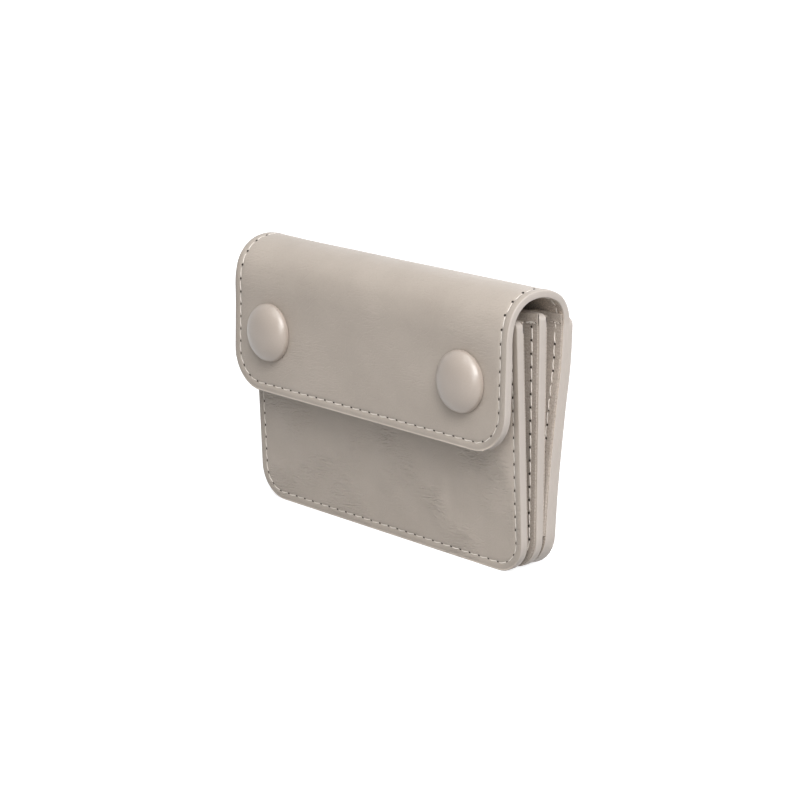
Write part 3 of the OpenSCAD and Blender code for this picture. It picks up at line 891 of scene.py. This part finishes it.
# Upright panels: front panel and divider, two leathers each
def layPanel(footY, lean, startZ):
    def lay(x, s, n):
        up = s + startZ
        y = footY + up * math.sin(lean) - n * math.cos(lean)
        return Vector((x, y, up * math.cos(lean) + n * math.sin(lean)))
    return lay


panelRings = [0.7, 1.3, 1.7, 2.0, 2.2, 2.4, 2.6, 2.8, 3.2, 4.2]
frontPanel = {
    "body": "front", "lean": math.radians(-2.2), "thickness": 2.3 * mm,
    "height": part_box("front_leather")[1].z, "footY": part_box("front_lining")[1].y - 1.35 * mm,
    "width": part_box("front_leather")[1].x * 2,
    "nodes": ("front_leather", "front_lining"), "seed": 5.0, "wave": 0.12 * mm, "leather": "creased_leather",
}
divider = {
    "body": "divider", "lean": math.radians(0.45), "thickness": 2.5 * mm,
    "height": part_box("divider_front_leather")[1].z, "footY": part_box("divider_rear_leather")[0].y,
    "width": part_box("divider_front_leather")[1].x * 2,
    "nodes": ("divider_front_leather", "divider_rear_leather"), "seed": 11.0, "wave": 0.08 * mm,
    "leather": "face_leather",
}


def panelSheet(plan):
    sheet = {
        "width": plan["width"], "length": plan["height"] / math.cos(plan["lean"]) - 0.1 * mm,
        "thickness": plan["thickness"],
        "startRadius": 9.5 * mm, "endRadius": 1.8 * mm, "cornerSegments": 12, "rounding": 0.35 * mm,
        "rings": [ring * mm for ring in panelRings],
        "materials": (plan["leather"], "face_leather", "edge_paint"),
        "seamMargin": 2.4 * mm, "seamDepth": 0.18 * mm, "welt": 0.1 * mm,
        "wave": plan["wave"], "seed": plan["seed"],
    }
    sheet["crossCuts"] = spread(6 * mm, sheet["length"] - 6 * mm, 2.2 * mm)
    sheet["longCuts"] = longCuts(plan["width"])
    return sheet


def makePanel(name, plan):
    plan["sheet"] = panelSheet(plan)
    plan["lay"] = layPanel(plan["footY"], plan["lean"], 0.05 * mm)
    piece = cutSheet(name, plan["sheet"])
    pressSheet(piece, plan["sheet"])
    layOn(piece, plan["lay"])
    smoothPiece(piece)
    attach(piece, plan["body"])
    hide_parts(*plan["nodes"])
    return piece


makePanel("front_panel", frontPanel)
makePanel("divider_panel", divider)
print("front panel and divider made")

# Gussets: thin leather sewn flat to both panels and folded inwards between them
gusset = {
    "margin": 4 * mm, "depth": 9.3 * mm, "baseDepth": 5.5 * mm, "inset": 0.35 * mm, "corner": 9.5 * mm,
    "legShare": 0.2, "wave": 0.16 * mm, "waveSize": 7 * mm,
    "hem": 3.1 * mm, "hemThickness": 0.6 * mm, "hemSize": 0.4, "riseFade": 25 * mm,
    "rearFoot": 10 * mm, "unfoldAt": 35 * mm, "unfold": 1.1 * mm,
    "frontRise": 1.4 * mm, "rearRise": -0.6 * mm,  # from a gusset's front top corner to its rear one
}

# Rows of stitches on the strap, on both faces
strapHalf = strap["thickness"] / 2
gussetThickness = 0.5 * mm
gussetClearance = 0.05 * mm
gussetTops = {
    "front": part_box("front_gusset")[1].z + 0.4 * mm,
    "rear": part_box("rear_gusset_left")[1].z + 1.8 * mm,
}


# How the rows fit the pocket's top, the gussets' tops and the lining
rowFit = {"belowPocketTop": 0.5 * mm, "belowGussetTop": 1.2 * mm, "aboveLining": 0.08 * mm}


def sewStrap():
    rows, inner = ({region: [] for region in strapBends} for face in range(2))
    for place, direction in outlineRow(strapSheet, strapMargin, stitch["pitch"]):
        region = "flap" if place.y < partings[0] else ("roll" if place.y < partings[1] else "back")
        onPocket = place.y > pocketStart + rowFit["belowPocketTop"]
        height = layStrap(place.x, place.y, 0).z
        lift = strapHalf - strapSheet["seamDepth"]
        if onPocket:
            lift += pocket["thickness"]
        rows[region].append((place, direction, lift))
        top = gussetTops["rear"] - rowFit["belowGussetTop"]
        onGusset = region == "back" and gusset["rearFoot"] < height < top
        onLining = rowFit["aboveLining"] - strapSheet["seamDepth"]
        depth = gussetClearance + gussetThickness if onGusset else onLining
        inner[region].append((place, direction, -strapHalf - depth))
    for region in ("flap", "roll", "back"):
        blendStrap(sewRow("seam_" + region + "_outside", rows[region], layStrap), region)
        blendStrap(sewRow("seam_" + region + "_inside", inner[region], layStrap, -1), region)


sewStrap()


def sewPanel(name, plan, gussets):
    half = plan["thickness"] / 2
    front, rear = [], []
    for place, direction in outlineRow(plan["sheet"], plan["sheet"]["seamMargin"], stitch["pitch"]):
        depths = {"none": -plan["sheet"]["seamDepth"]}
        for word, low in (("front", 0), ("rear", gusset["rearFoot"])):
            covered = low < place.y < gussetTops[word]
            depths[word] = gussetClearance + gussetThickness if covered else depths["none"]
        front.append((place, direction, half + depths[gussets[0]]))
        rear.append((place, direction, -half - depths[gussets[1]]))
    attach(sewRow(name + "_outside", front, plan["lay"]), plan["body"])
    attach(sewRow(name + "_inside", rear, plan["lay"], -1), plan["body"])


sewPanel("seam_front_panel", frontPanel, ("none", "front"))
sewPanel("seam_divider", divider, ("front", "rear"))
print("seams sewn")


# Faces of the panels that a gusset is sewn to: depth at a height
def leaningFace(footY, lean):
    return lambda z: footY + z * math.tan(lean)


innerBack = [layStrap(0, strap["end"] - travel, -strapHalf) for travel in spread(0, travelAt(60), 0.5 * mm)]


def backFace(z):
    # the strap's inner face, which starts to bend over near the top
    k = max(i for i, place in enumerate(innerBack[:-1]) if i == 0 or place.z <= z)
    share = (z - innerBack[k].z) / (innerBack[k + 1].z - innerBack[k].z)
    return innerBack[k].y + share * (innerBack[k + 1].y - innerBack[k].y)


wallFaces = {
    "front": (leaningFace(frontPanel["footY"] + frontPanel["thickness"] / 2, frontPanel["lean"]),
              leaningFace(divider["footY"] - divider["thickness"] / 2, divider["lean"])),
    "rear": (leaningFace(divider["footY"] + divider["thickness"] / 2, divider["lean"]), backFace),
}


def foldProfile(share):
    # across the fold from 0 to 1: how far along the flat leg, into the fold and over to the other panel
    leg = gusset["legShare"]
    if share < leg:
        return share / leg, 0, 0
    if share > 1 - leg:
        return (1 - share) / leg, 0, 1
    turn = math.pi * (share - leg) / (1 - 2 * leg)
    return 1, math.sin(turn) ** 0.8, (1 - math.cos(turn)) / 2


def gussetEdge(top, foot, aroundBase):
    # places along the panels' edge with the direction inwards, from the top right corner down
    halfWidth = frontPanel["width"] / 2 - gusset["inset"]
    half = [(Vector((halfWidth, z)), Vector((-1, 0))) for z in spread(top, foot, 1.5 * mm)]
    if not aroundBase:
        return half
    bend = gusset["corner"] - gusset["inset"]
    centre = Vector((halfWidth - bend, gusset["corner"]))
    for angle in spread(0, math.pi / 2, math.pi / 20)[1:]:
        out = Vector((math.cos(angle), -math.sin(angle)))
        half.append((centre + bend * out, -out))
    base = [(Vector((x, gusset["inset"])), Vector((0, 1))) for x in spread(centre.x, -centre.x, 3 * mm)[1:-1]]
    mirrored = [(Vector((-place.x, place.y)), Vector((-inward.x, inward.y)))
                for place, inward in reversed(half)]
    return half + base + mirrored


def planFold(faces, top, rise, foot, leather, side=1, aroundBase=False):
    edge = gussetEdge(top, foot, aroundBase)
    reached = [0]
    for i in range(len(edge) - 1):
        reached.append(reached[-1] + (edge[i + 1][0] - edge[i][0]).length)
    return {
        "faces": faces, "top": top, "rise": rise, "foot": foot, "leather": leather, "side": side,
        "edge": edge, "reached": reached, "length": reached[-1],
        "girth": 2 * gusset["depth"] + gusset["margin"],
    }


def layFold(plan, thickness):
    # lays a flat sheet, x across the fold and y down the panels' edge, between the two panels
    frontFace, rearFace = plan["faces"]

    def spot(g, s):
        s = min(max(s, 0), plan["length"])
        k = min(max(i for i, far in enumerate(plan["reached"]) if far <= s), len(plan["edge"]) - 2)
        share = (s - plan["reached"][k]) / (plan["reached"][k + 1] - plan["reached"][k])
        edge = plan["edge"][k][0].lerp(plan["edge"][k + 1][0], share)
        inward = plan["edge"][k][1].lerp(plan["edge"][k + 1][1], share).normalized()
        leg, fold, across = foldProfile(min(max(g / plan["girth"], 0), 1))
        full = smoothStep((edge.y - plan["foot"]) / (plan["top"] / 3 - plan["foot"]))
        depth = gusset["baseDepth"] + (gusset["depth"] - gusset["baseDepth"]) * full
        ripple = gusset["wave"] * noise.noise(Vector((g, s, plan["top"])) / gusset["waveSize"]) * fold
        inside = gusset["margin"] * leg + (depth - gusset["margin"]) * fold + ripple
        fromEnd = s if edge.x > 0 else plan["length"] - s
        rise = plan["rise"] * g / plan["girth"] * smoothStep(1 - fromEnd / gusset["riseFade"])
        z = edge.y + inward.y * inside + rise
        frontY = frontFace(z) + gussetClearance + thickness / 2
        rearY = rearFace(z) - gussetClearance - thickness / 2
        return Vector((edge.x + inward.x * inside, frontY + (rearY - frontY) * across, z)), inward

    def lay(g, s, n):
        here, inward = spot(g, s)
        nudge = 0.05 * mm
        step = spot(min(g + nudge, plan["girth"]), s)[0] - spot(max(g - nudge, 0), s)[0]
        along = Vector((inward.x, 0, inward.y))
        into = step.dot(along)
        out = (step.y * -along + Vector((0, into, 0))).normalized() * -1
        place = here - n * out
        return Vector((plan["side"] * place.x, place.y, place.z))
    return lay


def foldGusset(name, plan, thickness, fromS, toS):
    columns, rows = 36, max(3, round((toS - fromS) / (1.6 * mm)))
    bpy.ops.mesh.primitive_grid_add(x_subdivisions=columns, y_subdivisions=rows, size=1)
    piece = nameIt(name)
    takeUp(piece)
    bpy.ops.transform.resize(value=(plan["girth"], toS - fromS, 1))
    bpy.ops.transform.translate(value=(plan["girth"] / 2, (fromS + toS) / 2, 0))
    bpy.ops.object.transform_apply(location=True, rotation=True, scale=True)
    setFlatMap(piece, piece.data.uv_layers.active)
    layOn(piece, layFold(plan, thickness))
    applyModifier(piece, "SOLIDIFY", thickness=thickness, offset=0)
    roundEdges(piece, 0.2 * thickness, 2, 60)
    enter("EDIT")
    bpy.ops.mesh.select_all(action="SELECT")
    bpy.ops.mesh.normals_make_consistent(inside=False)
    enter("OBJECT")
    piece.data.materials.append(materials[plan["leather"]])
    return piece


def makeGusset(name, plan, node):
    # the folded sheet with its thicker turned hem at each open end
    parts = [foldGusset(name, plan, gussetThickness, 0, plan["length"])]
    ends = [(-0.1 * mm, gusset["hem"])]
    if plan["edge"][-1][0].x < 0:
        ends.append((plan["length"] - gusset["hem"], plan["length"] + 0.1 * mm))
    for fromS, toS in ends:
        parts.append(foldGusset(name + "_hem", plan, gusset["hemThickness"], fromS, toS))
    takeUp(*parts)
    bpy.ops.object.join()
    smoothPiece(parts[0], 50)
    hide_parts(node)
    blendFold(parts[0], plan)
    return ends


def blendFold(piece, plan):
    # works out the plane halfway between the panels at two heights, which is not used, and bakes the piece's
    # place into its mesh
    low, high = (sum(face(z) for face in plan["faces"]) / 2
                 for z in (gusset["unfoldAt"], gusset["unfoldAt"] + 1 * mm))
    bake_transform(piece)


# The hems' rows, and the crossing stitches at their ends
hemRow = {
    "inset": 0.5 * mm, "margin": 1.3 * mm,
    "crossMargin": 1.6 * mm, "crossShift": 0.35 * mm, "crossSlant": 0.2,
}


def sewHem(name, plan, ends):
    # a fine row across each hem, doubled where it crosses the side rows
    places = []
    lift = gusset["hemThickness"] / 2
    for fromS, toS in ends:
        depth = gusset["hem"] - hemRow["inset"]
        s = depth if fromS < 0 else plan["length"] - depth
        margin = hemRow["margin"]
        for g in spread(margin, plan["girth"] - margin, gusset["hemSize"] * stitch["pitch"]):
            places.append((Vector((g, s)), Vector((1, 0)), lift))
        for g in (hemRow["crossMargin"], plan["girth"] - hemRow["crossMargin"]):
            across = Vector((1, hemRow["crossSlant"])).normalized()
            places.append((Vector((g, s - hemRow["crossShift"])), across, lift))
    seam = sewRow(name, places, layFold(plan, gusset["hemThickness"]), size=gusset["hemSize"])
    blendFold(seam, plan)


frontPlan = planFold(wallFaces["front"], gussetTops["front"], gusset["frontRise"], gusset["corner"],
                     "gusset_leather", aroundBase=True)
frontEnds = makeGusset("gusset_front_fold", frontPlan, "front_gusset")
sewHem("seam_gusset_front", frontPlan, frontEnds)
for side, word in ((1, "right"), (-1, "left")):
    rearPlan = planFold(wallFaces["rear"], gussetTops["rear"], gusset["rearRise"], gusset["rearFoot"],
                        "rear_gusset_lit_leather", side)
    rearEnds = makeGusset("gusset_rear_fold_" + word, rearPlan, "rear_gusset_" + word)
    sewHem("seam_gusset_rear_" + word, rearPlan, rearEnds)
print("gussets folded")

# Covered snap buttons
button = {
    "radius": 8.6 * mm, "rise": 4.7 * mm, "rim": 1.1 * mm, "lean": math.radians(2),
    "foldRadius": 0.5 * mm, "rings": 9, "sides": 64,
    "roundness": 2.6, "fullness": 0.62,  # powers of the dome's section
}


def domeHeight(radius, plan):
    share = min(radius / plan["radius"], 1)
    return plan["rim"] + (plan["rise"] - plan["rim"]) * (1 - share ** plan["roundness"]) ** plan["fullness"]


def makeButton(name, node, placeX):
    bpy.ops.mesh.primitive_circle_add(vertices=button["sides"], radius=button["radius"], fill_type="NGON")
    piece = nameIt(name)
    takeUp(piece)
    enter("EDIT")
    bpy.ops.mesh.select_mode(type="FACE")
    bpy.ops.mesh.select_all(action="SELECT")
    bpy.ops.mesh.extrude_region_move(TRANSFORM_OT_translate={"value": (0, 0, button["rim"])})
    reached = button["radius"]
    for ring in range(1, button["rings"] + 1):
        smaller = button["radius"] * math.cos(math.pi / 2 * ring / (button["rings"] + 1))
        bpy.ops.mesh.inset(thickness=reached - smaller, depth=0)
        bpy.ops.transform.translate(value=(0, 0, domeHeight(smaller, button) - domeHeight(reached, button)))
        reached = smaller
    bpy.ops.mesh.poke()
    enter("OBJECT")
    for vertex in piece.data.vertices:
        if vertex.co.xy.length < 0.01 * mm and vertex.co.z > button["rim"]:
            vertex.co.z = button["rise"]
    roundEdges(piece, button["foldRadius"], 3, 35)
    applyModifier(piece, "SUBSURF", levels=1, render_levels=1)
    setFlatMap(piece, piece.data.uv_layers.active or piece.data.uv_layers.new())
    seat = layStrap(0, strap["end"] - buttonTravel, strapHalf)
    out = (layStrap(0, strap["end"] - buttonTravel, strapHalf + 1 * mm) - seat).normalized()
    turned = Matrix(((1, 0, 0), out.cross(Vector((1, 0, 0))), out)).transposed().to_4x4()
    piece.data.transform(Matrix.Translation(Vector((placeX, seat.y, seat.z))) @ turned)
    piece.data.materials.append(materials["button_leather"])
    smoothPiece(piece, 60)
    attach(piece, "flap")
    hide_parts(node)
    return piece


makeButton("button_dome_left", "button_cover_left", buttonPlace[0].x)
makeButton("button_dome_right", "button_cover_right", buttonPlace[1].x)
print("buttons covered")

# The CAD's snap parts keep their shape and get a satin nickel finish
nickelLook = {"colour": (0.66, 0.64, 0.61), "darker": 0.85, "roughness": 0.3, "scratches": 1400}


def makeNickel(look):
    material, tree, surface = newMaterial("snap_nickel")
    place = addNode(tree, "ShaderNodeTexCoord").outputs["Object"]
    scratches = makeNoise(tree, place, look["scratches"], 4)
    darker = tuple(look["darker"] * part for part in look["colour"])
    rough = remap(tree, scratches, 0, 1, look["roughness"] - 0.08, look["roughness"] + 0.1)
    feed(tree, surface, {
        "Metallic": 1, "Base Color": mixTones(tree, scratches, darker, look["colour"]), "Roughness": rough,
    })
    return material


materials["snap_steel"] = makeNickel(nickelLook)
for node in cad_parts.values():
    if not node.hide_render:
        node.data.materials.clear()
        node.data.materials.append(materials["snap_steel"])
        smoothPiece(node, 30)

bpy.data.objects.remove(stitchPattern)
